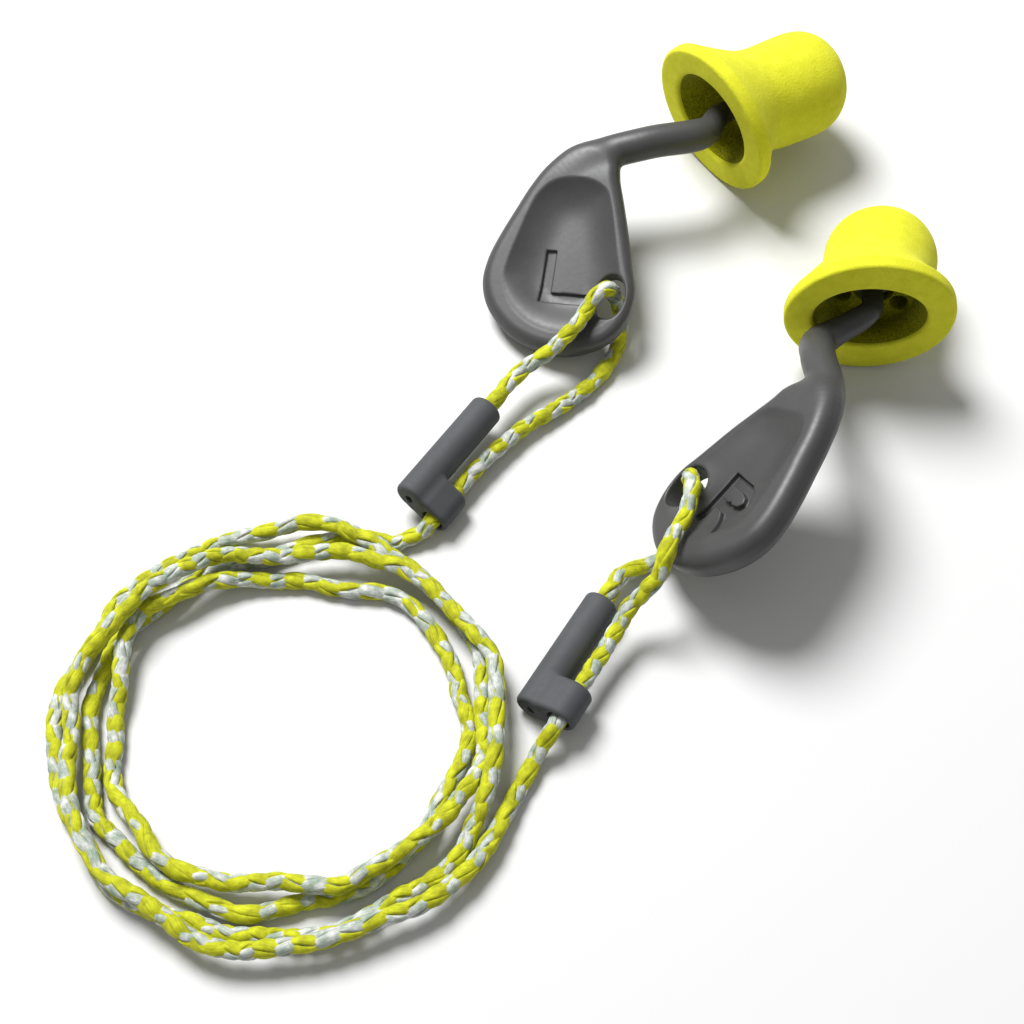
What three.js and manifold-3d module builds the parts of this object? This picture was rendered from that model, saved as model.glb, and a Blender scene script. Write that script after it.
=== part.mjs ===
// Corded foam ear plugs: two bell-shaped foam pods on moulded grips, joined by one braided cord.
// Millimetres, +Z up, lying on the plane z = 0. Each cord end is held in a slider's tube, leaves the
// tube's mouth, passes through the hole of a grip's paddle, comes back through the slider's lug and
// runs to the coil.
import * as THREE from 'three';
import { mergeVertices } from 'three/addons/utils/BufferGeometryUtils.js';
import Module from 'manifold-3d';

const wasm = await Module();
wasm.setup();

const gap = 0.3;                                    // kept between neighbouring pieces
const origin = new THREE.Vector3(22.08, 23.24, 0.05);    // middle of the plugs' footprint

// ---- driving dimensions ----
const pod = {
  rimR: 9, rimThick: 1.4, edge: 0.35,               // flange
  waistR: 6.05, waistAt: 6.3,                       // neck between flange and dome
  domeR: 6.2, domeAt: 11.0, length: 16.2,
  mouthR: 5.7, floorR: 4.9, floorAt: 5.6,           // hollow of the bell
};
const core = { outerR: 2.1, boreR: 1.5, from: 5.9, to: 12.6, bore: 11.6 };   // sleeve in the foam
const paddle = {
  thick: 3.4, bevel: 1.1,
  wide: { x: 0, y: -2.6, r: 8.8 }, narrow: { x: 0, y: 7.2, r: 5.2 },         // outline: two circles
  dish: { wide: { x: 0.9, y: -2.3, r: 6.3 }, narrow: { x: 1.2, y: 6.0, r: 3.6 }, depth: 1.7, bevel: 0.8 },
  hole: { x: 5.9, y: -4.3, halfX: 1.85, halfY: 2.6 },
};
const letter = { height: 4.9, width: 3.9, stroke: 1.2, depth: 0.4 };
const stem = {
  r: 1.75, bendR: 1.35, tipR: 1.2, tipFrom: 5.3, tipAt: 10.8,
  arm: [[-2.17, 9.2, 0.1], [0.85, 12.1, -0.3], [7.2, 14.75, -1.4]], knee: [12.7, 17.35, -4.2],
  bendAt: [1.4, 4.4, 5.4],                          // along the pod's axis, from its open face
};
const slider = {
  tubeR: 1.8, length: 14, boreR: 1.2, boreFrom: 2.0, ventR: 0.45, lugAt: 3.3, footLength: 4.0,
};
const run = { inTube: [5.4, 9, 13, 16, 17.5], inLug: [8, 7, 4, 1, -0.8] };    // the cord in a slider
const cord = { r: 0.9, sides: 8, steps: 40 };
const coil = { x: -22.8, y: -25.2, innerR: 15.0, outerR: 22.9, low: 0.05, high: 3.8, round: 1.0 };

// ---- poses of the pieces on the plane z = 0 ----
// paddle frame: the origin of its outline, its long axis and the normal of its dished face
const plugs = {
  left: {
    side: 1, at: [5.9, 29.3, 5.75], long: [0.15, 0.92, 0.35], face: [-0.27, -0.30, 0.92],
    podAt: [22.8, 46.9, 9.05], podTurn: 34, podRise: 0,
    letterAt: [-2.0, -4.35], strokes: [[0, 1, 0, 0], [0, 0, 1, 0]],
  },
  right: {
    side: -1, at: [23.3, -2.4, 10.1], long: [0.66, 0.60, 0.45], face: [-0.67, 0.21, 0.71],
    podAt: [38.2, 18.4, 9.2], podTurn: 80, podRise: -8, letterAt: [-1.65, -5.25],
    strokes: [[0, 0, 0, 1], [0, 1, 0.8, 1], [0.8, 1, 0.8, 0.5], [0.8, 0.5, 0, 0.5], [0.35, 0.5, 0.9, 0]],
  },
};
// each slider: foot of its tube's axis, the heading of the tube's mouth and its roll about the tube
const sliders = {
  left: { at: [-10.7, -0.5, 3.52], heading: 54.5, roll: -30 },
  right: { at: [1.8, -23.45, 1.86], heading: 57.9, roll: 20 },
};
// the cord between slider and slider by way of each paddle hole, and its lead to the coil
const overPaddle = {
  left: [[1.46, 15.95, 3.83], [3.8, 17.4, 4.42], [5.51, 18.52, 5.6], [7.12, 20.06, 6.26],
    [8.07, 21.64, 6.51], [8.79, 22.64, 7.26], [9.66, 23.26, 7.83], [10.53, 23.91, 7.43],
    [11.06, 24.52, 6.14], [11.46, 24.82, 4.61], [12.0, 24.8, 2.9], [12.2, 23.2, 1.7],
    [11.7, 20.6, 1.1], [10.3, 17.8, 1.0], [8.2, 15.2, 1.0], [5.2, 12.6, 1.1], [1.6, 10.0, 1.4]],
  right: [[13.4, -7.2, 1.1], [15.9, -6.0, 0.98], [18.6, -4.2, 1.1], [20.5, -2.2, 2.05],
    [20.26, -1.02, 3.6], [19.05, -0.4, 5.22], [18.53, -0.24, 6.23], [18.07, -0.29, 7.64],
    [18.1, -1.09, 8.89], [18.07, -2.66, 9.25], [17.64, -4.32, 8.99], [17.08, -5.88, 8.78],
    [16.35, -7.22, 9.0], [15.6, -8.7, 9.18], [15.05, -10.13, 8.8], [14.6, -11.56, 7.55],
    [13.2, -12.5, 5.9], [11.7, -13.5, 4.6], [10.9, -14.7, 3.8]],
};
const leads = {
  left: [[-9.6, -3.3, 1.3], [-11.2, -4.0, 1.0], [-12.2, -4.45, 1.0]],
  right: [[2.5, -27.8, 1.4], [1.7, -29.3, 1.05], [1.0, -30.7, 1.0], [0.45, -31.8, 1.0]],
};

const colours = { foam: 0xe4e419, sleeve: 0xb9bcb4, grip: 0x606062, slider: 0x55575b, cord: 0xd4dc1e };

// ---- helpers ----
const deg = THREE.MathUtils.degToRad;

function toManifold(geometry) {
  const bare = geometry.index ? geometry.toNonIndexed() : geometry.clone();
  bare.deleteAttribute('normal');
  bare.deleteAttribute('uv');
  const welded = mergeVertices(bare, 1e-4);
  return new wasm.Manifold(new wasm.Mesh({
    numProp: 3,
    vertProperties: new Float32Array(welded.attributes.position.array),
    triVerts: new Uint32Array(welded.index.array),
  }));
}

function fromManifold(solid) {
  const mesh = solid.getMesh();
  const geometry = new THREE.BufferGeometry();
  geometry.setAttribute('position', new THREE.BufferAttribute(mesh.vertProperties, 3));
  geometry.setIndex(new THREE.BufferAttribute(mesh.triVerts, 1));
  return geometry;
}

function named(name, geometry, colour, roughness) {
  const mesh = new THREE.Mesh(geometry, new THREE.MeshStandardMaterial({ color: colour, roughness }));
  mesh.name = name;
  return mesh;
}

// teardrop round two circles whose centres lie one above the other, or nearly so
function teardrop(wide, narrow) {
  const across = new THREE.Vector2(narrow.x - wide.x, narrow.y - wide.y);
  const lean = across.angle() - Math.PI / 2;
  const open = Math.asin((wide.r - narrow.r) / across.length());
  const shape = new THREE.Shape();
  shape.absarc(wide.x, wide.y, wide.r, Math.PI - open + lean, 2 * Math.PI + open + lean, false);
  shape.absarc(narrow.x, narrow.y, narrow.r, open + lean, Math.PI - open + lean, false);
  return shape;
}

// a plate with rounded edges, its middle plane at the given height
function plate(shape, thick, bevel, middle, curveSegments = 11) {
  const geometry = new THREE.ExtrudeGeometry(shape, {
    depth: thick - 2 * bevel, bevelEnabled: true, bevelThickness: bevel, bevelSize: bevel,
    bevelOffset: -bevel, bevelSegments: 3, curveSegments,
  });
  return geometry.translate(0, 0, middle - thick / 2 + bevel);
}

function tubeAlong(path, radius, sides, steps) {
  const section = new THREE.Shape().absarc(0, 0, radius, 0, 2 * Math.PI, false);
  return new THREE.ExtrudeGeometry(section, {
    steps, curveSegments: sides / 2, extrudePath: path, bevelEnabled: false,
  });
}

function rod(radius, from, to, sides = 24) {
  const geometry = new THREE.CylinderGeometry(radius, radius, to - from, sides);
  return geometry.translate(0, (from + to) / 2, 0);
}

function vector(list) {
  return new THREE.Vector3(...list);
}

// places a mesh so that its X, Y and Z run along the given directions
function place(mesh, at, x, y, z) {
  mesh.applyMatrix4(new THREE.Matrix4().makeBasis(x, y, z).setPosition(at));
  return mesh;
}

// ---- foam pods and their sleeves ----
function podAxis(plug) {
  const turn = deg(plug.podTurn);
  const rise = deg(plug.podRise);
  return new THREE.Vector3(Math.cos(turn) * Math.cos(rise), Math.sin(turn) * Math.cos(rise), Math.sin(rise));
}

// profile from the dome's end, along the outside to the flange, and back through the hollow
function podProfile() {
  const points = [];
  const domeSteps = 7;
  for (let i = 0; i <= domeSteps; i += 1) {
    const a = (Math.PI / 2) * (i / domeSteps);
    const along = pod.domeAt + (pod.length - pod.domeAt) * Math.cos(a) ** 0.9;
    points.push([pod.domeR * Math.sin(a) ** 0.8, along]);
  }
  const flareSteps = 5;
  points.push([pod.domeR, (pod.domeAt + pod.waistAt) / 2 + 1], [pod.waistR, pod.waistAt + 0.4]);
  for (let i = 0; i <= flareSteps; i += 1) {
    const t = i / flareSteps;
    const along = pod.waistAt + (pod.rimThick - pod.waistAt) * t;
    points.push([pod.waistR + (pod.rimR - pod.waistR) * t ** 1.6, along]);
  }
  points.push([pod.rimR, pod.edge], [pod.rimR - pod.edge, 0]);
  points.push([pod.mouthR + pod.edge, 0], [pod.mouthR, pod.edge]);
  points.push([pod.floorR, pod.floorAt - 0.8], [pod.floorR - 0.8, pod.floorAt]);
  points.push([core.outerR + gap, pod.floorAt], [core.outerR + gap, core.to + gap], [0, core.to + gap]);
  points[0][0] = 0;
  return points.map(([r, along]) => new THREE.Vector2(r, along)).reverse();
}

function foamPod(name, plug) {
  const mesh = named(name, new THREE.LatheGeometry(podProfile(), 32), colours.foam, 0.9);
  return onPodAxis(mesh, plug);
}

function podSleeve(name, plug) {
  const profile = [[0, core.to], [core.outerR, core.to], [core.outerR, core.from], [core.boreR, core.from],
    [core.boreR, core.bore], [0, core.bore]];
  const points = profile.map(([r, along]) => new THREE.Vector2(r, along)).reverse();
  return onPodAxis(named(name, new THREE.LatheGeometry(points, 18), colours.sleeve, 0.5), plug);
}

// Y of the lathe runs from the open face to the dome
function onPodAxis(mesh, plug) {
  const axis = podAxis(plug);
  const level = new THREE.Vector3(0, 0, 1).cross(axis).normalize();
  return place(mesh, vector(plug.podAt), level.clone().cross(axis).negate(), axis, level.clone().negate());
}

// ---- grips ----
function paddleFrame(plug) {
  const z = vector(plug.face).normalize();
  const y = vector(plug.long).addScaledVector(z, -z.dot(vector(plug.long))).normalize();
  return { x: y.clone().cross(z), y, z, at: vector(plug.at) };
}

function mirrored(circle, side) {
  return { ...circle, x: circle.x * side };
}

function stroke([x0, y0, x1, y1]) {
  const from = new THREE.Vector2(x0 * letter.width, y0 * letter.height);
  const to = new THREE.Vector2(x1 * letter.width, y1 * letter.height);
  const length = from.distanceTo(to) + letter.stroke;
  const bar = new THREE.BoxGeometry(length, letter.stroke, 2 * letter.depth);
  bar.rotateZ(to.clone().sub(from).angle());
  return bar.translate((from.x + to.x) / 2, (from.y + to.y) / 2, 0);
}

// the stem leaves the thick side of the rim, bends at the knee and ends in the pod's sleeve
function stemSolid(plug, frame) {
  const toLocal = new THREE.Matrix4().makeBasis(frame.x, frame.y, frame.z).setPosition(frame.at).invert();
  const axis = podAxis(plug);
  const onAxis = (along) => vector(plug.podAt).addScaledVector(axis, along).applyMatrix4(toLocal);
  const onSide = ([x, y, z]) => new THREE.Vector3(x * plug.side, y, z);
  const knee = onSide(stem.knee);
  const arm = new THREE.CatmullRomCurve3([...stem.arm.map(onSide), knee]);
  const bend = new THREE.CatmullRomCurve3([knee, ...stem.bendAt.map(onAxis)]);
  const tip = new THREE.LineCurve3(onAxis(stem.tipFrom), onAxis(stem.tipAt));
  const ball = new THREE.SphereGeometry(stem.r, 14, 8).translate(knee.x, knee.y, knee.z);
  return toManifold(tubeAlong(arm, stem.r, 14, 10))
    .add(toManifold(ball))
    .add(toManifold(tubeAlong(bend, stem.bendR, 12, 6)))
    .add(toManifold(tubeAlong(tip, stem.tipR, 12, 1)));
}

function grip(name, plug) {
  const { side } = plug;
  const frame = paddleFrame(plug);
  const { dish, hole } = paddle;
  const top = paddle.thick / 2;
  const outline = teardrop(mirrored(paddle.wide, side), mirrored(paddle.narrow, side));
  const inner = teardrop(mirrored(dish.wide, side), mirrored(dish.narrow, side));
  const oval = new THREE.Shape().absellipse(hole.x * side, hole.y, hole.halfX, hole.halfY, 0, 2 * Math.PI);
  let solid = toManifold(plate(outline, paddle.thick, paddle.bevel, 0));
  const hollow = toManifold(plate(inner, 2 * dish.depth, dish.bevel, top));
  const through = new THREE.ExtrudeGeometry(oval, {
    depth: 2 * paddle.thick, bevelEnabled: false, curveSegments: 10,
  });
  solid = solid.add(stemSolid(plug, frame)).subtract(hollow);
  solid = solid.subtract(toManifold(through.translate(0, 0, -paddle.thick)));
  for (const line of plug.strokes) {
    const bar = stroke(line).translate(...plug.letterAt, top - dish.depth);
    solid = solid.subtract(toManifold(bar));
  }
  return place(named(name, fromManifold(solid), colours.grip, 0.55), frame.at, frame.x, frame.y, frame.z);
}

// ---- sliders ----
// frame of a slider: Y along the tube to its mouth, X towards the lug
function sliderFrame(pose) {
  const heading = deg(pose.heading);
  const y = new THREE.Vector3(Math.cos(heading), Math.sin(heading), 0);
  const across = new THREE.Vector3(y.y, -y.x, 0);
  const x = across.multiplyScalar(Math.cos(deg(pose.roll))).setZ(Math.sin(deg(pose.roll)));
  return { x, y, z: x.clone().cross(y), at: vector(pose.at) };
}

function sliderBody(name, pose) {
  const { tubeR, lugAt, boreR } = slider;
  const foot = new THREE.Shape();
  foot.absarc(lugAt, 0, tubeR, -Math.PI / 2, Math.PI / 2, false);
  foot.absarc(0, 0, tubeR, Math.PI / 2, 1.5 * Math.PI, false);
  const footPlate = new THREE.ExtrudeGeometry(foot, {
    depth: slider.footLength, bevelEnabled: false, curveSegments: 8,
  }).rotateX(-Math.PI / 2);
  const lugBore = rod(boreR, -1, slider.footLength + 1).translate(lugAt, 0, 0);
  const solid = toManifold(rod(tubeR, 0.001, slider.length, 32))
    .add(toManifold(footPlate))
    .subtract(toManifold(rod(boreR, slider.boreFrom, slider.length + 1)))
    .subtract(toManifold(rod(slider.ventR, -1, slider.boreFrom + 1, 12)))
    .subtract(toManifold(lugBore));
  const frame = sliderFrame(pose);
  return place(named(name, fromManifold(solid), colours.slider, 0.6), frame.at, frame.x, frame.y, frame.z);
}

// ---- cord ----
// the cord inside and near a slider is straight, so that the slider can travel on it
function cordRun(name, key) {
  const frame = sliderFrame(sliders[key]);
  const local = (x, y) => frame.at.clone().addScaledVector(frame.x, x).addScaledVector(frame.y, y);
  const inTube = run.inTube.map((along) => local(0, along));
  const inLug = run.inLug.map((along) => local(slider.lugAt, along));
  const middle = overPaddle[key].map(vector);
  const lead = leads[key].map(vector);
  const path = new THREE.CatmullRomCurve3([...inTube, ...middle, ...inLug, ...lead], false, 'centripetal');
  return named(name, tubeAlong(path, cord.r, cord.sides, cord.steps), colours.cord, 0.9);
}

function coilRing(name) {
  const { innerR, outerR, low, high, round } = coil;
  const points = [
    [innerR, low + round], [innerR + round, low], [outerR - round, low], [outerR, low + round],
    [outerR, high - round], [outerR - round, high], [innerR + round, high], [innerR, high - round],
    [innerR, low + round],
  ].map(([r, z]) => new THREE.Vector2(r, z));
  const geometry = new THREE.LatheGeometry(points, 48).rotateX(Math.PI / 2);
  return named(name, geometry.translate(coil.x, coil.y, 0), colours.cord, 0.9);
}

// ---- the whole ----
const object = new THREE.Group();
for (const [key, plug] of Object.entries(plugs)) {
  object.add(foamPod(`foam_pod_${key}`, plug), podSleeve(`pod_sleeve_${key}`, plug));
  object.add(grip(`grip_${key}`, plug), sliderBody(`slider_${key}`, sliders[key]));
  object.add(cordRun(`cord_run_${key}`, key));
}
object.add(coilRing('cord_coil'));
object.position.copy(origin).negate();

export default object;
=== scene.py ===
"""Corded foam ear plugs: foam pods on moulded grips, joined by one braided cord. Metres, +Z up."""
import math

import bmesh
import bpy
import numpy as np
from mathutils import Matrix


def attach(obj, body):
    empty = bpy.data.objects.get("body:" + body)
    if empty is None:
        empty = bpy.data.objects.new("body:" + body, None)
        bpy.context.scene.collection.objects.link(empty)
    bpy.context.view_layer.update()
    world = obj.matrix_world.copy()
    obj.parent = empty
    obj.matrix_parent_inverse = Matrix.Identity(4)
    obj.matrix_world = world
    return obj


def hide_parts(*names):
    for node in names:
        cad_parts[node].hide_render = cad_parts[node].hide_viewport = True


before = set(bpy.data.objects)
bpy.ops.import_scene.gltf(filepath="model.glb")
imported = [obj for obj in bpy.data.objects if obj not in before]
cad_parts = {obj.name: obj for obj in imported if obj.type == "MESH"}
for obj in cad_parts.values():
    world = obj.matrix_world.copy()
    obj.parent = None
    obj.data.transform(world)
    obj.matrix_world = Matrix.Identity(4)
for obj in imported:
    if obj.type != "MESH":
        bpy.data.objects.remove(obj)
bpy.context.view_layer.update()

MM = 0.001

# ---------------------------------------------------------------- layout, in millimetres
# The same places as the CAD part, which lies with this point at its origin.
ORIGIN = np.array([22.08, 23.24, 0.05])

# side mirrors the grip; the pairs that lean are degrees sideways and upwards
PLUGS = {
    "left": dict(
        side=1, at=(5.9, 29.3, 5.75), long=(0.15, 0.92, 0.35), face=(-0.27, -0.30, 0.92),
        pod_at=(22.8, 46.9, 9.05), pod_turn=34.0, pod_rise=0.0,
        flange_lean=(2.0, 5.5), dome_lean=(-2.5, -5.0), dome_more=1.5,
        flange_wide=1.02, mouth_oval=(1.04, 1.0), shoulder_drop=0.0, knee_shift=(0.0, 0.0, 0.0),
        letter_deep=0.36, letter_at=(-1.55, -4.65), letter_width=4.5,
        strokes=[[(0, 1), (0, 0)], [(0, 0), (1, 0)]],
    ),
    "right": dict(
        side=-1, at=(23.3, -2.4, 10.1), long=(0.66, 0.60, 0.45), face=(-0.67, 0.21, 0.71),
        pod_at=(38.2, 18.4, 9.2), pod_turn=80.0, pod_rise=-8.0,
        flange_lean=(6.0, 8.5), dome_lean=(-5.0, -8.0), dome_more=0.0,
        flange_wide=1.01, mouth_oval=(1.06, 0.88), shoulder_drop=1.2, knee_shift=(0.0, -0.45, 0.0),
        letter_deep=0.6, letter_at=(-1.4, -5.25), letter_width=5.3,
        strokes=[[(0, 0), (0, 1)], [(0, 1), (0.5, 1)], [(0, 0.42), (0.5, 0.42)], [(0.4, 0.42), (0.85, 0)],
                 [(0.5, 1), (0.72, 0.93), (0.85, 0.71), (0.72, 0.49), (0.5, 0.42)]],
    ),
}
SLIDERS = {
    "left": dict(at=(-10.7, -0.5, 3.52), heading=54.5, roll=-30.0),
    "right": dict(at=(1.8, -23.45, 1.86), heading=57.9, roll=20.0),
}
SLIDER = dict(tube=1.8, length=14.0, bore=1.2, bore_from=2.0, vent=0.45, lug=3.3, foot=4.0)
IN_TUBE = (5.4, 9.0, 13.0, 16.0, 17.5)
IN_LUG = (8.0, 7.0, 4.0, 1.0, -0.8)
OVER_PADDLE = {
    "left": [(1.46, 15.95, 3.83), (3.8, 17.4, 4.42), (5.51, 18.52, 5.6), (7.12, 20.06, 6.26),
             (8.07, 21.64, 6.51), (8.79, 22.64, 7.26), (9.66, 23.26, 7.83), (10.53, 23.91, 7.43),
             (11.06, 24.52, 6.14), (11.46, 24.82, 4.61), (12.0, 24.8, 2.9), (12.2, 23.2, 1.7),
             (11.7, 20.6, 1.1), (10.3, 17.8, 1.0), (8.2, 15.2, 1.0), (5.2, 12.6, 1.1), (1.6, 10.0, 1.4)],
    "right": [(13.4, -7.2, 1.1), (15.9, -6.0, 0.98), (18.6, -4.2, 1.1), (20.5, -2.2, 2.05),
              (20.26, -1.02, 3.6), (19.05, -0.4, 5.22), (18.53, -0.24, 6.23), (18.07, -0.29, 7.64),
              (18.1, -1.09, 8.89), (18.07, -2.66, 9.25), (17.64, -4.32, 8.99), (17.08, -5.88, 8.78),
              (16.35, -7.22, 9.0), (15.6, -8.7, 9.18), (15.05, -10.13, 8.8), (14.6, -11.56, 7.55),
              (13.2, -12.5, 5.9), (11.7, -13.5, 4.6), (10.9, -14.7, 3.8)],
}
LEADS = {
    "left": [(-9.6, -3.3, 1.3), (-11.2, -4.0, 1.0), (-12.2, -4.45, 1.0)],
    "right": [(2.5, -27.8, 1.4), (1.7, -29.3, 1.05), (1.0, -30.7, 1.0), (0.45, -31.8, 1.0)],
}
# radii of the coil's centre line at each eighth of a turn, from its top on, anticlockwise from above
COIL = dict(
    x=-22.8, y=-25.2, turns=3, steps=900, low=0.98,
    radii=(19.2, 19.2, 18.6, 18.3, 17.9, 17.8, 18.2, 18.2,
           16.2, 18.4, 16.0, 16.5, 15.9, 18.2, 20.3, 21.3,
           22.2, 21.9, 21.7, 21.0, 20.3, 21.4, 21.6, 20.9,
           18.8, 19.6, 20.2, 20.9, 21.9))
CORD_D = 1.8
BRAID = dict(yarns=4, pitch=14.5, lay_radius=0.51, wave=0.13, core=0.42, spacing=0.4)


def unit(v):
    v = np.asarray(v, float)
    return v / np.linalg.norm(v)


def smooth(x, low, high):
    t = np.clip((x - low) / (high - low), 0.0, 1.0)
    return t * t * (3 - 2 * t)


def heading(turn, rise=0.0):
    turn, rise = math.radians(turn), math.radians(rise)
    return np.array([math.cos(turn) * math.cos(rise), math.sin(turn) * math.cos(rise), math.sin(rise)])


# ---------------------------------------------------------------- camera, light, floor
def make_camera():
    """The camera looks along +Y and down by 60 degrees, like a product shot of things on a table."""
    elevation, distance, focal_px, frame_px = math.radians(60), 174.9, 1651.0, 1024.0
    data = bpy.data.cameras.new("camera")
    data.sensor_width = 36.0
    data.lens = focal_px / frame_px * data.sensor_width
    data.clip_start = 0.005
    camera = bpy.data.objects.new("camera", data)
    bpy.context.scene.collection.objects.link(camera)
    back = np.array([0.0, -math.cos(elevation), math.sin(elevation)]) * distance
    camera.location = (back - ORIGIN) * MM
    camera.rotation_euler = (math.pi / 2 - elevation, 0.0, 0.0)
    bpy.context.scene.camera = camera


def make_light(name, place, target, size, power):
    data = bpy.data.lights.new(name, "AREA")
    data.shape = "DISK"
    data.size = size
    data.energy = power
    light = bpy.data.objects.new(name, data)
    bpy.context.scene.collection.objects.link(light)
    light.location = place
    aim = unit(np.array(place) - np.array(target))
    light.rotation_euler = (math.acos(aim[2]), 0.0, math.atan2(aim[0], -aim[1]) if aim[2] < 1 else 0.0)
    return light


def make_stage():
    material = bpy.data.materials.new("pale_floor")
    material.use_nodes = True
    shader = material.node_tree.nodes["Principled BSDF"]
    shader.inputs["Base Color"].default_value = (0.66, 0.66, 0.66, 1)
    shader.inputs["Roughness"].default_value = 0.8
    shader.inputs["Specular IOR Level"].default_value = 0.1
    mesh = bpy.data.meshes.new("floor")
    half = 2.0
    corners = [(-half, -half, 0), (half, -half, 0), (half, half, 0), (-half, half, 0)]
    mesh.from_pydata(corners, [], [(0, 1, 2, 3)])
    mesh.materials.append(material)
    floor = bpy.data.objects.new("floor", mesh)
    bpy.context.scene.collection.objects.link(floor)
    world = bpy.data.worlds.new("studio")
    bpy.context.scene.world = world
    world.use_nodes = True
    sky = world.node_tree.nodes["Background"]
    sky.inputs["Color"].default_value = (1.0, 1.0, 1.0, 1)
    sky.inputs["Strength"].default_value = 0.345
    middle = (-0.02, -0.02, 0.0)
    make_light("key", (-0.21, 0.24, 0.48), middle, 0.26, 5.5)
    bpy.context.scene.view_settings.view_transform = "Standard"


# ---------------------------------------------------------------- mesh helpers
def to_object(name, points, faces, materials, face_material=None, uv=None, smooth_faces=True):
    """A mesh object from points in millimetres, in the layout's coordinates."""
    mesh = bpy.data.meshes.new(name)
    mesh.from_pydata(((np.asarray(points) - ORIGIN) * MM).tolist(), [], [tuple(f) for f in faces])
    for material in materials:
        mesh.materials.append(material)
    if face_material is not None:
        mesh.polygons.foreach_set("material_index", np.asarray(face_material, dtype=np.int32))
    mesh.polygons.foreach_set("use_smooth", np.full(len(mesh.polygons), smooth_faces))
    if uv is not None:
        layer = mesh.uv_layers.new(name="along")
        index = np.zeros(len(mesh.loops), dtype=np.int32)
        mesh.loops.foreach_get("vertex_index", index)
        layer.data.foreach_set("uv", np.asarray(uv)[index].ravel())
    mesh.update()
    obj = bpy.data.objects.new(name, mesh)
    bpy.context.scene.collection.objects.link(obj)
    return obj


def sample_field(field, low, high, step):
    """Values of a distance field on a grid, worked out only near its surface."""
    block = 4
    counts = np.ceil((np.asarray(high) - low) / (step * block)).astype(int)
    centres = [low[a] + (np.arange(counts[a]) + 0.5) * step * block for a in range(3)]
    coarse = field(np.stack(np.meshgrid(*centres, indexing="ij"), -1).reshape(-1, 3)).reshape(counts)
    owner = [np.minimum(np.arange(counts[a] * block + 1) // block, counts[a] - 1) for a in range(3)]
    values = coarse[np.ix_(*owner)]
    near = np.argwhere(np.abs(values) < 1.8 * step * block)
    values[tuple(near.T)] = field(np.asarray(low) + near * step)
    return values


def surface_net(field, low, high, step):
    """A quad mesh of the field's zero surface, its points moved onto the surface."""
    low = np.asarray(low, float)
    values = sample_field(field, low, high, step)
    inside = values < 0
    shape = np.array(values.shape)
    cell_of, total, weight, quads = {}, [], [], []
    flat_cells, flat_points = [], []
    for axis in range(3):
        first = [slice(None)] * 3
        second = [slice(None)] * 3
        first[axis], second[axis] = slice(0, -1), slice(1, None)
        change = np.argwhere(inside[tuple(first)] != inside[tuple(second)])
        others = [a for a in range(3) if a != axis]
        keep = np.all((change[:, others] > 0) & (change[:, others] < shape[others] - 1), axis=1)
        change = change[keep]
        ahead = change.copy()
        ahead[:, axis] += 1
        v0, v1 = values[tuple(change.T)], values[tuple(ahead.T)]
        cross = change.astype(float)
        cross[:, axis] += v0 / (v0 - v1)
        corners = []
        for da, db in ((0, 0), (1, 0), (1, 1), (0, 1)):
            cell = change.copy()
            cell[:, others[0]] -= da
            cell[:, others[1]] -= db
            corners.append(np.ravel_multi_index(cell.T, shape))
            flat_cells.append(corners[-1])
            flat_points.append(cross)
        quad = np.stack(corners, 1)
        flip = (v0 < 0) != (axis == 1)
        quad[flip] = quad[flip][:, ::-1]
        quads.append(quad)
    cells, points = np.concatenate(flat_cells), np.concatenate(flat_points)
    ids, where = np.unique(cells, return_inverse=True)
    count = np.bincount(where)
    verts = np.stack([np.bincount(where, weights=points[:, a]) / count for a in range(3)], 1)
    verts = low + verts * step
    faces = np.searchsorted(ids, np.concatenate(quads))
    for _ in range(4):
        gradient = np.stack([
            field(verts + d) - field(verts - d) for d in np.eye(3) * 0.02], 1) / 0.04
        size = np.maximum((gradient ** 2).sum(1, keepdims=True), 0.25)
        move = -field(verts)[:, None] * gradient / size
        verts += np.clip(move, -0.3 * step, 0.3 * step)
    return verts, faces


def soft_min(a, b, k):
    h = np.clip(0.5 + 0.5 * (b - a) / k, 0, 1)
    return b + (a - b) * h - k * h * (1 - h)


def soft_max(a, b, k):
    return -soft_min(-a, -b, k)


def rounded(across, along, edge):
    """Distance to a slab with rounded edges from the distances to its outline and its faces."""
    qx, qz = across + edge, along + edge
    return np.minimum(np.maximum(qx, qz), 0) + np.hypot(np.maximum(qx, 0), np.maximum(qz, 0)) - edge


def catmull_rom(points, spacing):
    """Points at even spacing along a centripetal curve through the given points."""
    p = np.asarray(points, float)
    p = np.vstack([2 * p[0] - p[1], p, 2 * p[-1] - p[-2]])
    out = []
    for p0, p1, p2, p3 in zip(p, p[1:], p[2:], p[3:]):
        t1 = math.sqrt(np.linalg.norm(p1 - p0))
        t2 = t1 + math.sqrt(np.linalg.norm(p2 - p1))
        t3 = t2 + math.sqrt(np.linalg.norm(p3 - p2))
        t = np.linspace(t1, t2, 24, endpoint=False)[:, None]
        a1 = (t1 - t) / t1 * p0 + t / t1 * p1
        a2 = (t2 - t) / (t2 - t1) * p1 + (t - t1) / (t2 - t1) * p2
        a3 = (t3 - t) / (t3 - t2) * p2 + (t - t2) / (t3 - t2) * p3
        b1 = (t2 - t) / t2 * a1 + t / t2 * a2
        b2 = (t3 - t) / (t3 - t1) * a2 + (t - t1) / (t3 - t1) * a3
        out.append((t2 - t) / (t2 - t1) * b1 + (t - t1) / (t2 - t1) * b2)
    return even(np.vstack(out + [p[-2][None]]), spacing)


def even(line, spacing):
    run = np.concatenate([[0], np.cumsum(np.linalg.norm(np.diff(line, axis=0), axis=1))])
    steps = np.linspace(0, run[-1], max(2, int(round(run[-1] / spacing)) + 1))
    return np.stack([np.interp(steps, run, line[:, a]) for a in range(3)], 1)


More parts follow.
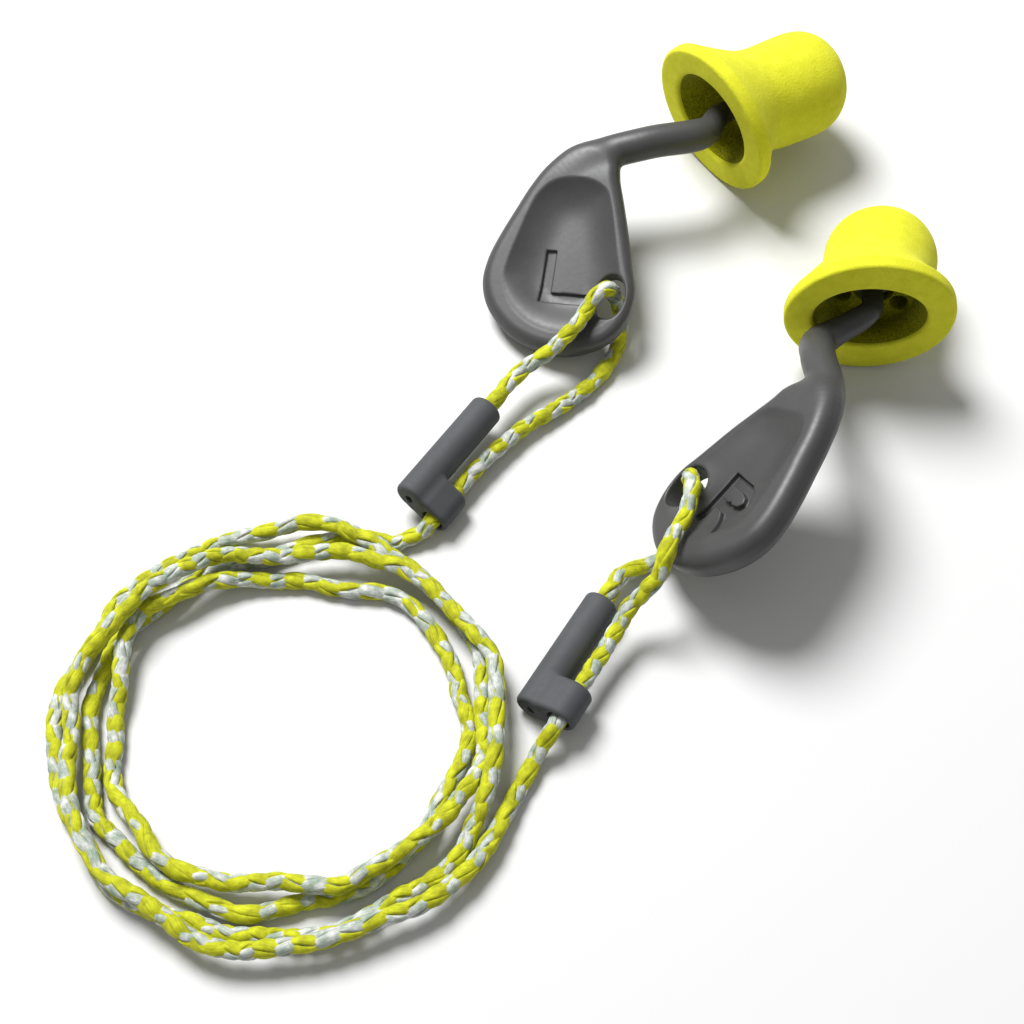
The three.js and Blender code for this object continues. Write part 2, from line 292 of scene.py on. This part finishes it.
# ---------------------------------------------------------------- materials
def colour_nodes(name, roughness):
    material = bpy.data.materials.new(name)
    material.use_nodes = True
    tree = material.node_tree
    shader = tree.nodes["Principled BSDF"]
    shader.inputs["Roughness"].default_value = roughness
    return material, tree, shader


def coordinate(tree, kind="Object", stretch=None):
    node = tree.nodes.new("ShaderNodeTexCoord")
    socket = node.outputs[kind]
    if stretch is None:
        return socket
    mapping = tree.nodes.new("ShaderNodeMapping")
    mapping.inputs["Scale"].default_value = stretch
    tree.links.new(socket, mapping.inputs["Vector"])
    return mapping.outputs["Vector"]


def noise(tree, where, scale, detail=3.0, rough=0.6):
    node = tree.nodes.new("ShaderNodeTexNoise")
    node.inputs["Scale"].default_value = scale
    node.inputs["Detail"].default_value = detail
    node.inputs["Roughness"].default_value = rough
    tree.links.new(where, node.inputs["Vector"])
    return node.outputs["Fac"]


def ramp(tree, fac, stops):
    node = tree.nodes.new("ShaderNodeValToRGB")
    elements = node.color_ramp.elements
    while len(elements) < len(stops):
        elements.new(0.5)
    for element, (position, colour) in zip(elements, stops):
        element.position = position
        element.color = (*colour, 1)
    tree.links.new(fac, node.inputs["Fac"])
    return node.outputs["Color"]


def bump(tree, shader, layers):
    """Bumps in the shader, each layer a height socket, a strength and a depth in metres."""
    normal = None
    for height, strength, depth in layers:
        node = tree.nodes.new("ShaderNodeBump")
        node.inputs["Strength"].default_value = strength
        node.inputs["Distance"].default_value = depth
        tree.links.new(height, node.inputs["Height"])
        if normal is not None:
            tree.links.new(normal, node.inputs["Normal"])
        normal = node.outputs["Normal"]
    tree.links.new(normal, shader.inputs["Normal"])


def foam_material(name, dark, light, pore):
    """Fine closed foam; pore is how strongly its cells show."""
    material, tree, shader = colour_nodes(name, 0.92)
    where = coordinate(tree)
    cells = tree.nodes.new("ShaderNodeTexVoronoi")
    cells.inputs["Scale"].default_value = 4200.0
    tree.links.new(where, cells.inputs["Vector"])
    speckle = noise(tree, where, 5200.0, 2.0)
    mottle = noise(tree, where, 700.0, 3.0)
    both = tree.nodes.new("ShaderNodeMix")
    both.inputs["Factor"].default_value = pore
    tree.links.new(mottle, both.inputs["A"])
    tree.links.new(speckle, both.inputs["B"])
    colour = ramp(tree, both.outputs["Result"], [(0.3, dark), (0.66, light)])
    tree.links.new(colour, shader.inputs["Base Color"])
    shader.inputs["Specular IOR Level"].default_value = 0.12
    shader.inputs["Sheen Weight"].default_value = 0.08
    shader.inputs["Sheen Roughness"].default_value = 0.6
    shader.inputs["Sheen Tint"].default_value = (1.0, 1.0, 0.4, 1)
    grain = noise(tree, where, 2500.0)
    bump(tree, shader, [(cells.outputs["Distance"], pore, 0.00006), (grain, 0.3, 0.00008)])
    return material


def moulded_material(name, low, high, roughness, grain=1800.0, shine=0.5):
    material, tree, shader = colour_nodes(name, roughness)
    where = coordinate(tree)
    colour = ramp(tree, noise(tree, where, 160.0), [(0.3, low), (0.7, high)])
    tree.links.new(colour, shader.inputs["Base Color"])
    fine = noise(tree, where, grain, 2.0)
    shader.inputs["Specular IOR Level"].default_value = shine
    bump(tree, shader, [(fine, 0.25, 0.00003), (noise(tree, where, 260.0, 2.0), 0.12, 0.0001)])
    rough = tree.nodes.new("ShaderNodeMapRange")
    rough.inputs["To Min"].default_value = roughness - 0.06
    rough.inputs["To Max"].default_value = roughness + 0.08
    tree.links.new(fine, rough.inputs["Value"])
    tree.links.new(rough.outputs["Result"], shader.inputs["Roughness"])
    return material


def yarn_material(name, low, middle, high, sheen):
    """Fibres run along the yarn, which the UV map follows: u along it, v round it."""
    material, tree, shader = colour_nodes(name, 0.75)
    fibres = noise(tree, coordinate(tree, "UV", (0.35, 7.0, 1.0)), 3.0, 4.0, 0.65)
    patches = noise(tree, coordinate(tree), 850.0, 2.0)
    both = tree.nodes.new("ShaderNodeMix")
    both.inputs["Factor"].default_value = 0.5
    tree.links.new(fibres, both.inputs["A"])
    tree.links.new(patches, both.inputs["B"])
    # for the white yarn the low end of these stops is painted shade with a lime tint
    stops = [(0.38, low), (0.5, middle), (0.6, high)]
    tree.links.new(ramp(tree, both.outputs["Result"], stops), shader.inputs["Base Color"])
    shader.inputs["Sheen Weight"].default_value = sheen
    shader.inputs["Sheen Roughness"].default_value = 0.4
    shader.inputs["Specular IOR Level"].default_value = 0.35
    bump(tree, shader, [(fibres, 0.6, 0.00008)])
    return material


# ---------------------------------------------------------------- cord
def slider_frame(pose):
    """Axes of a slider: x towards the lug, y along the tube to its mouth."""
    y = heading(pose["heading"])
    roll = math.radians(pose["roll"])
    x = np.array([y[1], -y[0], 0.0]) * math.cos(roll) + np.array([0, 0, math.sin(roll)])
    return np.array(pose["at"]), x, y, np.cross(x, y)


def end_run(key):
    """Route of the cord from its end in a slider's tube, by way of the paddle, to the lead's end."""
    at, x, y, _ = slider_frame(SLIDERS[key])
    in_tube = [at + y * along for along in IN_TUBE]
    in_lug = [at + x * SLIDER["lug"] + y * along for along in IN_LUG]
    return np.vstack([in_tube, OVER_PADDLE[key], in_lug, LEADS[key]])


def soft_steps(at, values):
    """A smooth curve through values at 0, 1, 2 and so on."""
    v = np.array([values[0], *values, values[-1], values[-1]])
    at = np.clip(at, 0, len(values) - 1.001)
    i = at.astype(int)
    t = at - i
    p0, p1, p2, p3 = v[i], v[i + 1], v[i + 2], v[i + 3]
    return p1 + 0.5 * t * (p2 - p0 + t * (2 * p0 - 5 * p1 + 4 * p2 - p3 + t * (3 * (p1 - p2) + p3 - p0)))


def coil_run():
    """Loose turns between the two leads: circles whose middle wanders, each laid on those before."""
    centre = np.array([COIL["x"], COIL["y"]])
    first, last = LEADS["left"][-1], LEADS["right"][-1]
    start = math.atan2(first[1] - centre[1], first[0] - centre[0])
    stop = math.atan2(last[1] - centre[1], last[0] - centre[0]) + 2 * math.pi * (COIL["turns"] + 1)
    r_first = math.hypot(*(np.array(first[:2]) - centre))
    r_last = math.hypot(*(np.array(last[:2]) - centre))
    phi = np.linspace(start, stop, COIL["steps"])
    eighth = phi / (math.pi / 4) - 2.0
    r = soft_steps(eighth, COIL["radii"])
    r += 0.32 * np.sin(7.3 * phi) + 0.2 * np.sin(12.1 * phi + 2.0) + 0.06 * np.sin(21.0 * phi + 0.5)
    into, out = smooth(phi, start, start + 0.7), smooth(phi, stop - 1.0, stop)
    r = (r_first * (1 - into) + r * into) * (1 - out) + r_last * out
    flat = centre + np.stack([r * np.cos(phi), r * np.sin(phi)], 1)
    low = COIL["low"]
    z = np.full(len(phi), low)
    apart = CORD_D * 1.02
    per_turn = int(COIL["steps"] * 2 * math.pi / (stop - start))
    half_window = 15
    window = np.hanning(2 * half_window + 1)
    window /= window.sum()
    for begin in range(0, len(phi), per_turn // 2):
        piece = np.arange(begin, min(begin + per_turn // 2, len(phi)))
        old = np.arange(0, max(0, begin - per_turn // 3))
        if len(old) == 0:
            continue
        gap2 = ((flat[piece][:, None] - flat[old][None]) ** 2).sum(-1)
        over = z[old] + np.sqrt(np.maximum(apart ** 2 - gap2, 0))
        need = np.where(gap2 < apart ** 2, over, low)
        z[piece] = np.maximum(z[piece], need.max(1))
    reach = 9
    raised = np.array([z[max(0, i - reach):i + reach + 1].max() for i in range(len(z))])
    z = np.convolve(np.pad(raised, half_window, mode="edge"), window, mode="valid")
    ends = smooth(phi, start, start + 0.25) * (1 - smooth(phi, stop - 0.25, stop))
    lead_z = 1.0
    z = lead_z + (z - lead_z) * ends
    every = 6
    return np.column_stack([flat, z])[every:-every:every]


def cord_path():
    left, right = end_run("left"), end_run("right")
    return catmull_rom(np.vstack([left, coil_run(), right[::-1]]), BRAID["spacing"])


def frames_along(line):
    """Normals and binormals carried along a line without twist."""
    tangent = np.gradient(line, axis=0)
    tangent /= np.linalg.norm(tangent, axis=1, keepdims=True)
    normal = np.zeros_like(line)
    normal[0] = unit(np.cross(tangent[0], (0.2, 0.1, 1.0)))
    for i in range(1, len(line)):
        n = normal[i - 1] - tangent[i] * (normal[i - 1] @ tangent[i])
        normal[i] = n / np.linalg.norm(n)
    return tangent, normal, np.cross(tangent, normal)


def tube(line, out, half_wide, half_thick, sides=8):
    """Points, faces and UVs of a flattened tube whose thin way points along out."""
    tangent = np.gradient(line, axis=0)
    tangent /= np.linalg.norm(tangent, axis=1, keepdims=True)
    out = out - tangent * (out * tangent).sum(1, keepdims=True)
    out /= np.linalg.norm(out, axis=1, keepdims=True)
    wide = np.cross(tangent, out)
    a = np.linspace(0, 2 * math.pi, sides, endpoint=False)
    ring = wide[:, None] * (half_wide[:, None] * np.cos(a))[..., None]
    ring = ring + out[:, None] * (half_thick[:, None] * np.sin(a))[..., None]
    points = (line[:, None] + ring).reshape(-1, 3)
    n = len(line)
    i = np.arange(n - 1)[:, None] * sides
    j = np.arange(sides)[None]
    k = (j + 1) % sides
    faces = np.stack([i + j, i + k, i + sides + k, i + sides + j], -1).reshape(-1, 4).tolist()
    faces.append(list(range(sides))[::-1])
    faces.append([(n - 1) * sides + s for s in range(sides)])
    run = np.concatenate([[0], np.cumsum(np.linalg.norm(np.diff(line, axis=0), axis=1))])
    uv = np.stack([np.repeat(run, sides), np.tile(np.abs(2 * a / (2 * math.pi) - 1), n)], 1)
    return points, faces, uv


def make_cord():
    """Four yarns wind each way round a core and pass over and under each other."""
    line = cord_path()
    _, normal, binormal = frames_along(line)
    length = float(np.linalg.norm(np.diff(line, axis=0), axis=1).sum())
    s = np.linspace(0, length, len(line))
    yarns = BRAID["yarns"]
    rng = np.random.default_rng(7)
    lime, white, inner = 0, 1, 2
    colours = {1: (lime, lime, lime, white), -1: (white, white, lime, white)}
    turn = 2 * math.pi * s / BRAID["pitch"] + 0.5 * np.sin(s / 9.0) + 0.3 * np.sin(s / 4.1 + 1.0)
    all_points, all_faces, all_uv, owner = [], [], [], []

    def add(points, faces, uv, material):
        base = sum(len(p) for p in all_points)
        all_points.append(points)
        all_faces.extend([[v + base for v in f] for f in faces])
        all_uv.append(uv)
        owner.extend([material] * len(faces))

    for way in (1, -1):
        for k in range(yarns):
            angle = way * turn + 2 * math.pi * k / yarns
            out = normal * np.cos(angle)[:, None] + binormal * np.sin(angle)[:, None]
            radius = BRAID["lay_radius"] + way * BRAID["wave"] * np.cos(yarns * turn)
            colour = colours[way][k]
            fat = 1.0 + 0.10 * np.sin(s / 2.7 + rng.uniform(0, 6.3))
            fat = fat + 0.08 * np.sin(s / 1.3 + rng.uniform(0, 6.3))
            fat = fat + (0.12 if colour == lime else -0.12) * np.sin(s / 5.3)
            wide = (0.55 if colour == lime else 0.46) * fat
            thick = (0.29 if colour == lime else 0.24) * fat ** 0.5
            points, faces, uv = tube(line + out * radius[:, None], out, wide, thick)
            add(points, faces, uv + [37.0 * k + 11.0 * way, 0], colour)
    core = np.full(len(line), BRAID["core"])
    add(*tube(line, normal, core, core, 6), inner)
    materials = [
        yarn_material("lime_yarn", (0.26, 0.27, 0.001), (0.42, 0.44, 0.003), (0.55, 0.58, 0.01), 0.1),
        # the white yarn's greenish-grey low stop is painted shade tinted by painted lime bounce; its light
        # stop is the yarn's own white
        yarn_material("white_yarn", (0.20, 0.28, 0.20), (0.40, 0.44, 0.39), (0.68, 0.68, 0.67), 0.15),
        yarn_material("core_yarn", (0.13, 0.18, 0.06), (0.18, 0.24, 0.08), (0.24, 0.30, 0.10), 0.05),
    ]
    cord = to_object("braided_cord", np.vstack(all_points), all_faces, materials, owner, np.vstack(all_uv))
    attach(cord, "root")
    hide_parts("cord_run_left", "cord_coil", "cord_run_right")
    return cord


make_camera()
make_stage()
make_cord()


# ---------------------------------------------------------------- foam pods
POD = dict(rim=9.0, rim_thick=1.4, waist=6.05, waist_at=6.3, dome=6.2, dome_at=11.0, length=16.2,
           mouth=5.7, floor=4.9, floor_at=5.6, socket=2.35, socket_to=12.9)
POCKETS = dict(count=6, ring=3.6, size=1.0, soft=0.3, depth=3.4)
# rows of the profile from the dome's end to the first one on the flange's face
OUTER_ROWS = 66


def arc_points(cx, cy, r, start, stop, steps):
    a = np.radians(np.linspace(start, stop, steps))
    return [(cx + r * math.cos(v), cy + r * math.sin(v)) for v in a]


def pod_profile():
    """Radius and place along the axis, from the dome's end round the flange into the hollow's socket."""
    p = POD
    points = []
    for a in np.linspace(0, math.pi / 2, 26)[1:]:
        points.append((p["dome"] * math.sin(a) ** 0.8,
                       p["dome_at"] + (p["length"] - p["dome_at"]) * math.cos(a) ** 0.9))
    for t in np.linspace(0.1, 1, 10):
        along = p["dome_at"] + (p["waist_at"] + 0.4 - p["dome_at"]) * t
        points.append((p["dome"] + (p["waist"] - p["dome"]) * smooth(t, 0, 1), along))
    for t in np.linspace(0.06, 0.97, 18):
        along = p["waist_at"] + (p["rim_thick"] - p["waist_at"]) * t
        points.append((p["waist"] + (p["rim"] - p["waist"]) * t ** 1.6, along))
    edge = 0.45
    points += arc_points(p["rim"] - edge, p["rim_thick"] - 0.2, edge, 30, 0, 5)
    points += arc_points(p["rim"] - edge, edge, edge, 0, -90, 7)
    points += [(r, 0.0) for r in np.linspace(p["rim"] - 1.0, p["mouth"] + 0.7, 7)]
    points += arc_points(p["mouth"] + edge, edge, edge, -90, -180, 6)
    for t in np.linspace(0.08, 1, 12):
        points.append((p["mouth"] + (p["floor"] - p["mouth"]) * t, edge + (p["floor_at"] - 0.5 - edge) * t))
    points += [(r, p["floor_at"]) for r in np.linspace(p["floor"] - 0.25, p["socket"] + 0.1, 16)]
    points += [(p["socket"], p["floor_at"] + 0.15), (p["socket"], p["socket_to"])]
    return points


def make_pod(key, plug, materials):
    """A surface of revolution with pockets moulded in its hollow, its flange and dome leaning a little."""
    around = 144
    profile = np.array(pod_profile())
    theta = np.linspace(0, 2 * math.pi, around, endpoint=False)
    r = np.repeat(profile[:, 0][:, None], around, 1)
    along = np.repeat(profile[:, 1][:, None], around, 1)
    floor = (np.abs(along - POD["floor_at"]) < 1e-6)
    count, ring, size = POCKETS["count"], POCKETS["ring"], POCKETS["size"]
    off_centre = np.abs(((theta * count / (2 * math.pi)) % 1) - 0.5) * 2 * math.pi / count
    from_centre = np.sqrt(r ** 2 + ring ** 2 - 2 * r * ring * np.cos(off_centre)[None])
    along = along + floor * (1 - smooth(from_centre, size - POCKETS["soft"], size)) * POCKETS["depth"]
    outer = np.arange(len(profile))[:, None] < OUTER_ROWS
    along = along + outer * plug["dome_more"] * smooth(along, 7.0, 13.0)
    rng = np.random.default_rng(3 if key == "left" else 4)
    for waves in (2, 3, 5):
        phase = rng.uniform(0, 6.3, 2)
        swell = np.cos(waves * theta[None] + phase[0]) * np.cos(profile[:, 1][:, None] * 0.35 + phase[1])
        r = r * (1 + 0.0035 * swell * outer)
    axis = heading(plug["pod_turn"], plug["pod_rise"])
    level = unit(np.cross((0, 0, 1), axis))
    up = np.cross(axis, level)
    share = smooth(along, 0.5, 8.5)
    turn = np.radians(plug["flange_lean"][0] * (1 - share) + plug["dome_lean"][0] * share)
    rise = np.radians(plug["flange_lean"][1] * (1 - share) + plug["dome_lean"][1] * share)
    a = along[..., None] * axis
    inward = np.where(outer, 0.0, 1 - smooth(r, POD["mouth"], POD["rim"] - 0.5))
    wide = plug["flange_wide"] + (plug["mouth_oval"][0] - plug["flange_wide"]) * inward
    wide = 1 + (wide - 1) * (1 - smooth(along, 1.0, 6.0))
    high = 1 + (plug["mouth_oval"][1] - 1) * inward * (1 - smooth(along, 1.0, 6.0))
    side = (r * wide * np.cos(theta))[..., None] * level + (r * high * np.sin(theta))[..., None] * up
    local = a + side
    x, y, z = local @ axis, local @ level, local @ up
    x, z = x * np.cos(rise) - z * np.sin(rise), x * np.sin(rise) + z * np.cos(rise)
    x, y = x * np.cos(turn) - y * np.sin(turn), x * np.sin(turn) + y * np.cos(turn)
    at = np.array(plug["pod_at"])
    points = (at + x[..., None] * axis + y[..., None] * level + z[..., None] * up).reshape(-1, 3)
    rows = len(profile)
    i = np.arange(rows - 1)[:, None] * around
    j = np.arange(around)[None]
    k = (j + 1) % around
    faces = np.stack([i + j, i + k, i + around + k, i + around + j], -1).reshape(-1, 4).tolist()
    points = np.vstack([points, points[:around].mean(0), points[-around:].mean(0)])
    top, bottom = len(points) - 2, len(points) - 1
    faces += [[top, (v + 1) % around, v] for v in range(around)]
    base = (rows - 1) * around
    faces += [[bottom, base + v, base + (v + 1) % around] for v in range(around)]
    mouth = int(np.argmax((profile[:, 0] <= POD["mouth"]) & (profile[:, 1] < POD["rim_thick"])))
    # faces of the hollow take the second material, whose darker colour is painted shade
    hollow = [int(mouth <= f // around < rows - 1) for f in range(around * (rows - 1))]
    hollow += [0] * around + [1] * around
    pod = to_object(f"foam_bell_{key}", points, faces, materials, hollow)
    fix_normals(pod)
    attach(pod, f"{key}_pod")
    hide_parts(f"foam_pod_{key}")


def fix_normals(obj):
    work = bmesh.new()
    work.from_mesh(obj.data)
    bmesh.ops.recalc_face_normals(work, faces=work.faces)
    work.to_mesh(obj.data)
    work.free()


# ---------------------------------------------------------------- grips
# outlines and stem for the left grip; the right one is its mirror image
PADDLE = dict(
    outline=[(-9.0, -3.3), (-8.75, -0.6), (-7.85, 2.1), (-6.4, 5.4), (-5.1, 8.2), (-3.5, 10.7),
             (-1.1, 12.8), (1.5, 13.3), (3.5, 12.5), (4.6, 11.1), (5.0, 9.4), (5.75, 7.0), (6.8, 3.4),
             (7.9, -0.7), (8.6, -3.2), (8.5, -5.5), (7.75, -7.6), (6.5, -9.2), (4.5, -10.4),
             (1.8, -11.15), (-1.4, -10.9), (-4.3, -9.8), (-6.5, -8.1), (-8.2, -5.9)],
    dish=[(-6.25, -3.2), (-6.1, -1.0), (-5.5, 1.6), (-4.75, 4.3), (-3.8, 6.9), (-2.2, 8.5),
          (0.2, 9.1), (2.3, 8.9), (4.0, 7.9), (4.85, 6.0), (5.5, 3.5), (6.2, 0.6), (6.9, -2.0),
          (7.2, -4.2), (6.8, -6.2), (5.6, -7.7), (3.6, -8.7), (0.8, -9.0), (-2.4, -8.2), (-5.0, -6.1)],
    half=1.7, thin=1.25, depth=1.5, scoop=4.4, hole=(5.9, -4.3, 1.85, 2.6))
STEM = dict(
    points=[(-4.7, 4.6, 0.0), (-3.6, 6.7, -0.1), (-2.17, 9.2, -0.3), (0.85, 12.1, -0.6), (7.2, 14.75, -1.4),
            (12.7, 17.35, -4.2)],
    in_pod=(1.4, 4.4, 7.0, 10.8), root=0.6, thick=1.84, bend=1.4, tip=1.15)
LETTER = dict(height=4.9, stroke=1.2)


class Outline:
    """Signed distance to a smooth closed curve in the plane, kept on a grid."""

    def __init__(self, points, reach=5.0, cell=0.12):
        p = np.array(points, float)
        p0, p1, p2, p3 = (np.roll(p, shift, axis=0)[:, None] for shift in (1, 0, -1, -2))
        t = np.linspace(0, 1, 10, endpoint=False)[None, :, None]
        curve = p1 + 0.5 * t * (p2 - p0 + t * (2 * p0 - 5 * p1 + 4 * p2 - p3 + t * (3 * (p1 - p2) + p3 - p0)))
        a = curve.reshape(-1, 2)
        b = np.roll(a, -1, axis=0)
        self.low, self.cell = a.min(0) - reach, cell
        counts = np.ceil((a.max(0) + reach - self.low) / cell).astype(int) + 1
        grid = [self.low[i] + np.arange(counts[i]) * cell for i in range(2)]
        q = np.stack(np.meshgrid(*grid, indexing="ij"), -1).reshape(-1, 2)
        nearest, inside = np.full(len(q), 1e9), np.zeros(len(q), bool)
        for start, stop in zip(a, b):
            edge = stop - start
            t = np.clip((q - start) @ edge / (edge @ edge), 0, 1)
            nearest = np.minimum(nearest, ((q - start - t[:, None] * edge) ** 2).sum(1))
            if start[1] != stop[1]:
                crosses = (start[1] > q[:, 1]) != (stop[1] > q[:, 1])
                inside ^= crosses & (q[:, 0] < start[0] + (q[:, 1] - start[1]) * edge[0] / edge[1])
        exact = (np.sqrt(nearest) * np.where(inside, -1, 1)).reshape(counts)
        soft = exact
        for _ in range(3):
            for axis in (0, 1):
                soft = sum(np.roll(soft, shift, axis) for shift in range(-5, 6)) / 11
        deep = smooth(-exact, 0.6, 2.2)
        self.values = exact * (1 - deep) + soft * deep

    def __call__(self, x, y):
        u = np.clip((x - self.low[0]) / self.cell, 0, self.values.shape[0] - 1.001)
        v = np.clip((y - self.low[1]) / self.cell, 0, self.values.shape[1] - 1.001)
        i, j = u.astype(int), v.astype(int)
        u, v = u - i, v - j
        g = self.values
        low = g[i, j] * (1 - u) + g[i + 1, j] * u
        high = g[i, j + 1] * (1 - u) + g[i + 1, j + 1] * u
        return low * (1 - v) + high * v


def paddle_frame(plug):
    z = unit(plug["face"])
    y = np.array(plug["long"])
    y = unit(y - z * (z @ y))
    return np.array(plug["at"]), np.cross(y, z), y, z


def stem_line(plug):
    """Centre line and radius of the stem, in the paddle's frame."""
    at, x, y, z = paddle_frame(plug)
    axis = heading(plug["pod_turn"], plug["pod_rise"])
    points = [np.array(p) * (plug["side"], 1, 1) for p in STEM["points"]]
    points[-1] = points[-1] + plug["knee_shift"]
    knee = points[-1]
    for along in STEM["in_pod"]:
        p = np.array(plug["pod_at"]) + axis * along - at
        points.append(np.array([p @ x, p @ y, p @ z]))
    spacing = 0.6
    line = catmull_rom(points, spacing)
    run = np.arange(len(line)) * spacing
    bend = run[np.argmin(np.linalg.norm(line - knee, axis=1))]
    radius = STEM["root"] + (STEM["thick"] - STEM["root"]) * smooth(run, 2.0, 9.5)
    radius = radius + (STEM["bend"] - STEM["thick"]) * smooth(run, bend - 1.5, bend + 3.5)
    radius = radius + (STEM["tip"] - STEM["bend"]) * smooth(run, bend + 3.5, bend + 7.5)
    return line, radius


def stroke_distance(points, x, y):
    """Distance to a letter's stroke: square ends if straight, round joints if curved."""
    nearest = np.full(len(x), 1e3)
    for a, b in zip(points, points[1:]):
        a, b = np.array(a), np.array(b)
        length = np.linalg.norm(b - a)
        way = (b - a) / length
        u = (x - a[0]) * way[0] + (y - a[1]) * way[1]
        v = (y - a[1]) * way[0] - (x - a[0]) * way[1]
        if len(points) == 2:
            return np.maximum(np.abs(u - length / 2) - length / 2, np.abs(v))
        nearest = np.minimum(nearest, np.hypot(u - np.clip(u, 0, length), v))
    return nearest


def grip_field(plug, outline, dish):
    line, radius = stem_line(plug)
    p = PADDLE
    hx, hy, ha, hb = p["hole"]
    size, start = np.array([plug["letter_width"], LETTER["height"]]), np.array(plug["letter_at"])
    strokes = [[start + size * q for q in stroke] for stroke in plug["strokes"]]

    def field(q):
        x, y, z = q[:, 0] * plug["side"], q[:, 1], q[:, 2]
        stem = np.full(len(q), 1e3)
        for a, b, ra, rb in zip(line, line[1:], radius, radius[1:]):
            along = b - a
            t = np.clip((q - a) @ along / (along @ along), 0, 1)
            stem = np.minimum(stem, np.linalg.norm(q - a - t[:, None] * along, axis=1) - (ra + (rb - ra) * t))
        half = p["half"] - (p["half"] - p["thin"]) * smooth(x, -1.0, 8.0)
        lower = y + plug["shoulder_drop"] * smooth(y, 2.0, 9.0) * smooth(x, -3.0, 2.0)
        at_shoulder = half - 0.45 * smooth(y, 9.0, 14.0)
        body = rounded(outline(x, lower), np.abs(z) - at_shoulder, at_shoulder - 0.3)
        body = soft_min(body, stem, 1.4)
        inner = dish(x, lower)
        t = np.clip(-inner / p["scoop"], 0, 1)
        fade = smooth(-y, 0.0, 6.0)
        sunk = (1 - (1 - t) ** 2) * (1 - fade) + t * t * (3 - 2 * t) * fade
        floor = half - p["depth"] * sunk
        body = soft_max(body, -np.maximum((z - floor) * -0.85, inner), 0.1)
        k0 = np.hypot((x - hx) / ha, (y - hy) / hb)
        k1 = np.hypot((x - hx) / ha ** 2, (y - hy) / hb ** 2)
        body = soft_max(body, -k0 * (k0 - 1) / np.maximum(k1, 1e-6), 0.25)
        for stroke in strokes:
            flat = stroke_distance(stroke, q[:, 0], y) - LETTER["stroke"] / 2
            body = soft_max(body, -np.maximum(flat, floor - plug["letter_deep"] - z), 0.06)
        return body

    return field


def make_grip(key, plug, outline, dish, material):
    step = 0.16
    line, _ = stem_line(plug)
    margin = 2.6
    low = np.minimum(line.min(0) - margin, (-10.2, -12.5, -2.8))
    high = np.maximum(line.max(0) + margin, (10.2, 15.0, 2.8))
    verts, faces = surface_net(grip_field(plug, outline, dish), low, high, step)
    at, x, y, z = paddle_frame(plug)
    points = at + verts[:, :1] * x + verts[:, 1:2] * y + verts[:, 2:] * z
    grip = to_object(f"moulded_grip_{key}", points, faces.tolist(), [material])
    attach(grip, f"{key}_grip")
    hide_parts(f"grip_{key}")


# ---------------------------------------------------------------- sliders
def slider_field(q):
    """Tube along y with a foot that carries the lug, their edges rounded."""
    p = SLIDER
    edge = 0.5
    x, y, z = q[:, 0], q[:, 1], q[:, 2]
    round_r = np.hypot(x, z)
    tube_body = rounded(round_r - p["tube"], np.abs(y - p["length"] / 2) - p["length"] / 2, edge)
    reach = p["lug"] + 1.65
    corner = 1.7
    past_x = np.abs(x - reach / 2) - (reach / 2 - corner)
    past_z = np.abs(z) - (p["tube"] - corner)
    block = np.hypot(np.maximum(past_x, 0), np.maximum(past_z, 0)) - corner
    block = block + np.minimum(np.maximum(past_x, past_z), 0)
    foot = rounded(block, np.abs(y - p["foot"] / 2) - p["foot"] / 2, edge)
    body = soft_min(tube_body, foot, 0.45)
    bore = np.maximum(round_r - p["bore"], p["bore_from"] - y)
    lug_r = np.hypot(x - p["lug"], z)
    body = soft_max(body, -bore, 0.15)
    body = soft_max(body, -(round_r - p["vent"]), 0.15)
    return soft_max(body, -(lug_r - p["bore"]), 0.3)


def make_slider(key, pose, material):
    step = 0.12
    verts, faces = surface_net(slider_field, (-2.4, -0.8, -2.4), (6.0, 15.0, 2.4), step)
    at, x, y, z = slider_frame(pose)
    points = at + verts[:, :1] * x + verts[:, 1:2] * y + verts[:, 2:] * z
    slider = to_object(f"cord_slider_{key}", points, faces.tolist(), [material])
    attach(slider, f"{key}_slider")
    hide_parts(f"slider_{key}")


# ---------------------------------------------------------------- assembly
foam = foam_material("lime_foam", (0.55, 0.55, 0.015), (0.67, 0.67, 0.035), 0.4)
# the hollow is the same lime foam as the outside; its much darker colour is painted shade inside the recess
hollow_shade_foam = foam_material("lime_foam_hollow_painted_shade", (0.10, 0.10, 0.001), (0.36, 0.36, 0.003), 0.85)
grey = moulded_material("grip_grey", (0.043, 0.043, 0.044), (0.053, 0.053, 0.054), 0.45, shine=0.5)
slate = moulded_material("slider_slate", (0.053, 0.056, 0.061), (0.066, 0.069, 0.075), 0.68, 2200.0, 0.35)
dark = moulded_material("sleeve_dark", (0.05, 0.05, 0.045), (0.07, 0.07, 0.06), 0.6)
paddle_outline, dish_outline = Outline(PADDLE["outline"]), Outline(PADDLE["dish"])
for name, plug in PLUGS.items():
    make_pod(name, plug, [foam, hollow_shade_foam])
    make_grip(name, plug, paddle_outline, dish_outline, grey)
    make_slider(name, SLIDERS[name], slate)
    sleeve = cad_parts[f"pod_sleeve_{name}"]
    sleeve.data.materials.clear()
    sleeve.data.materials.append(dark)
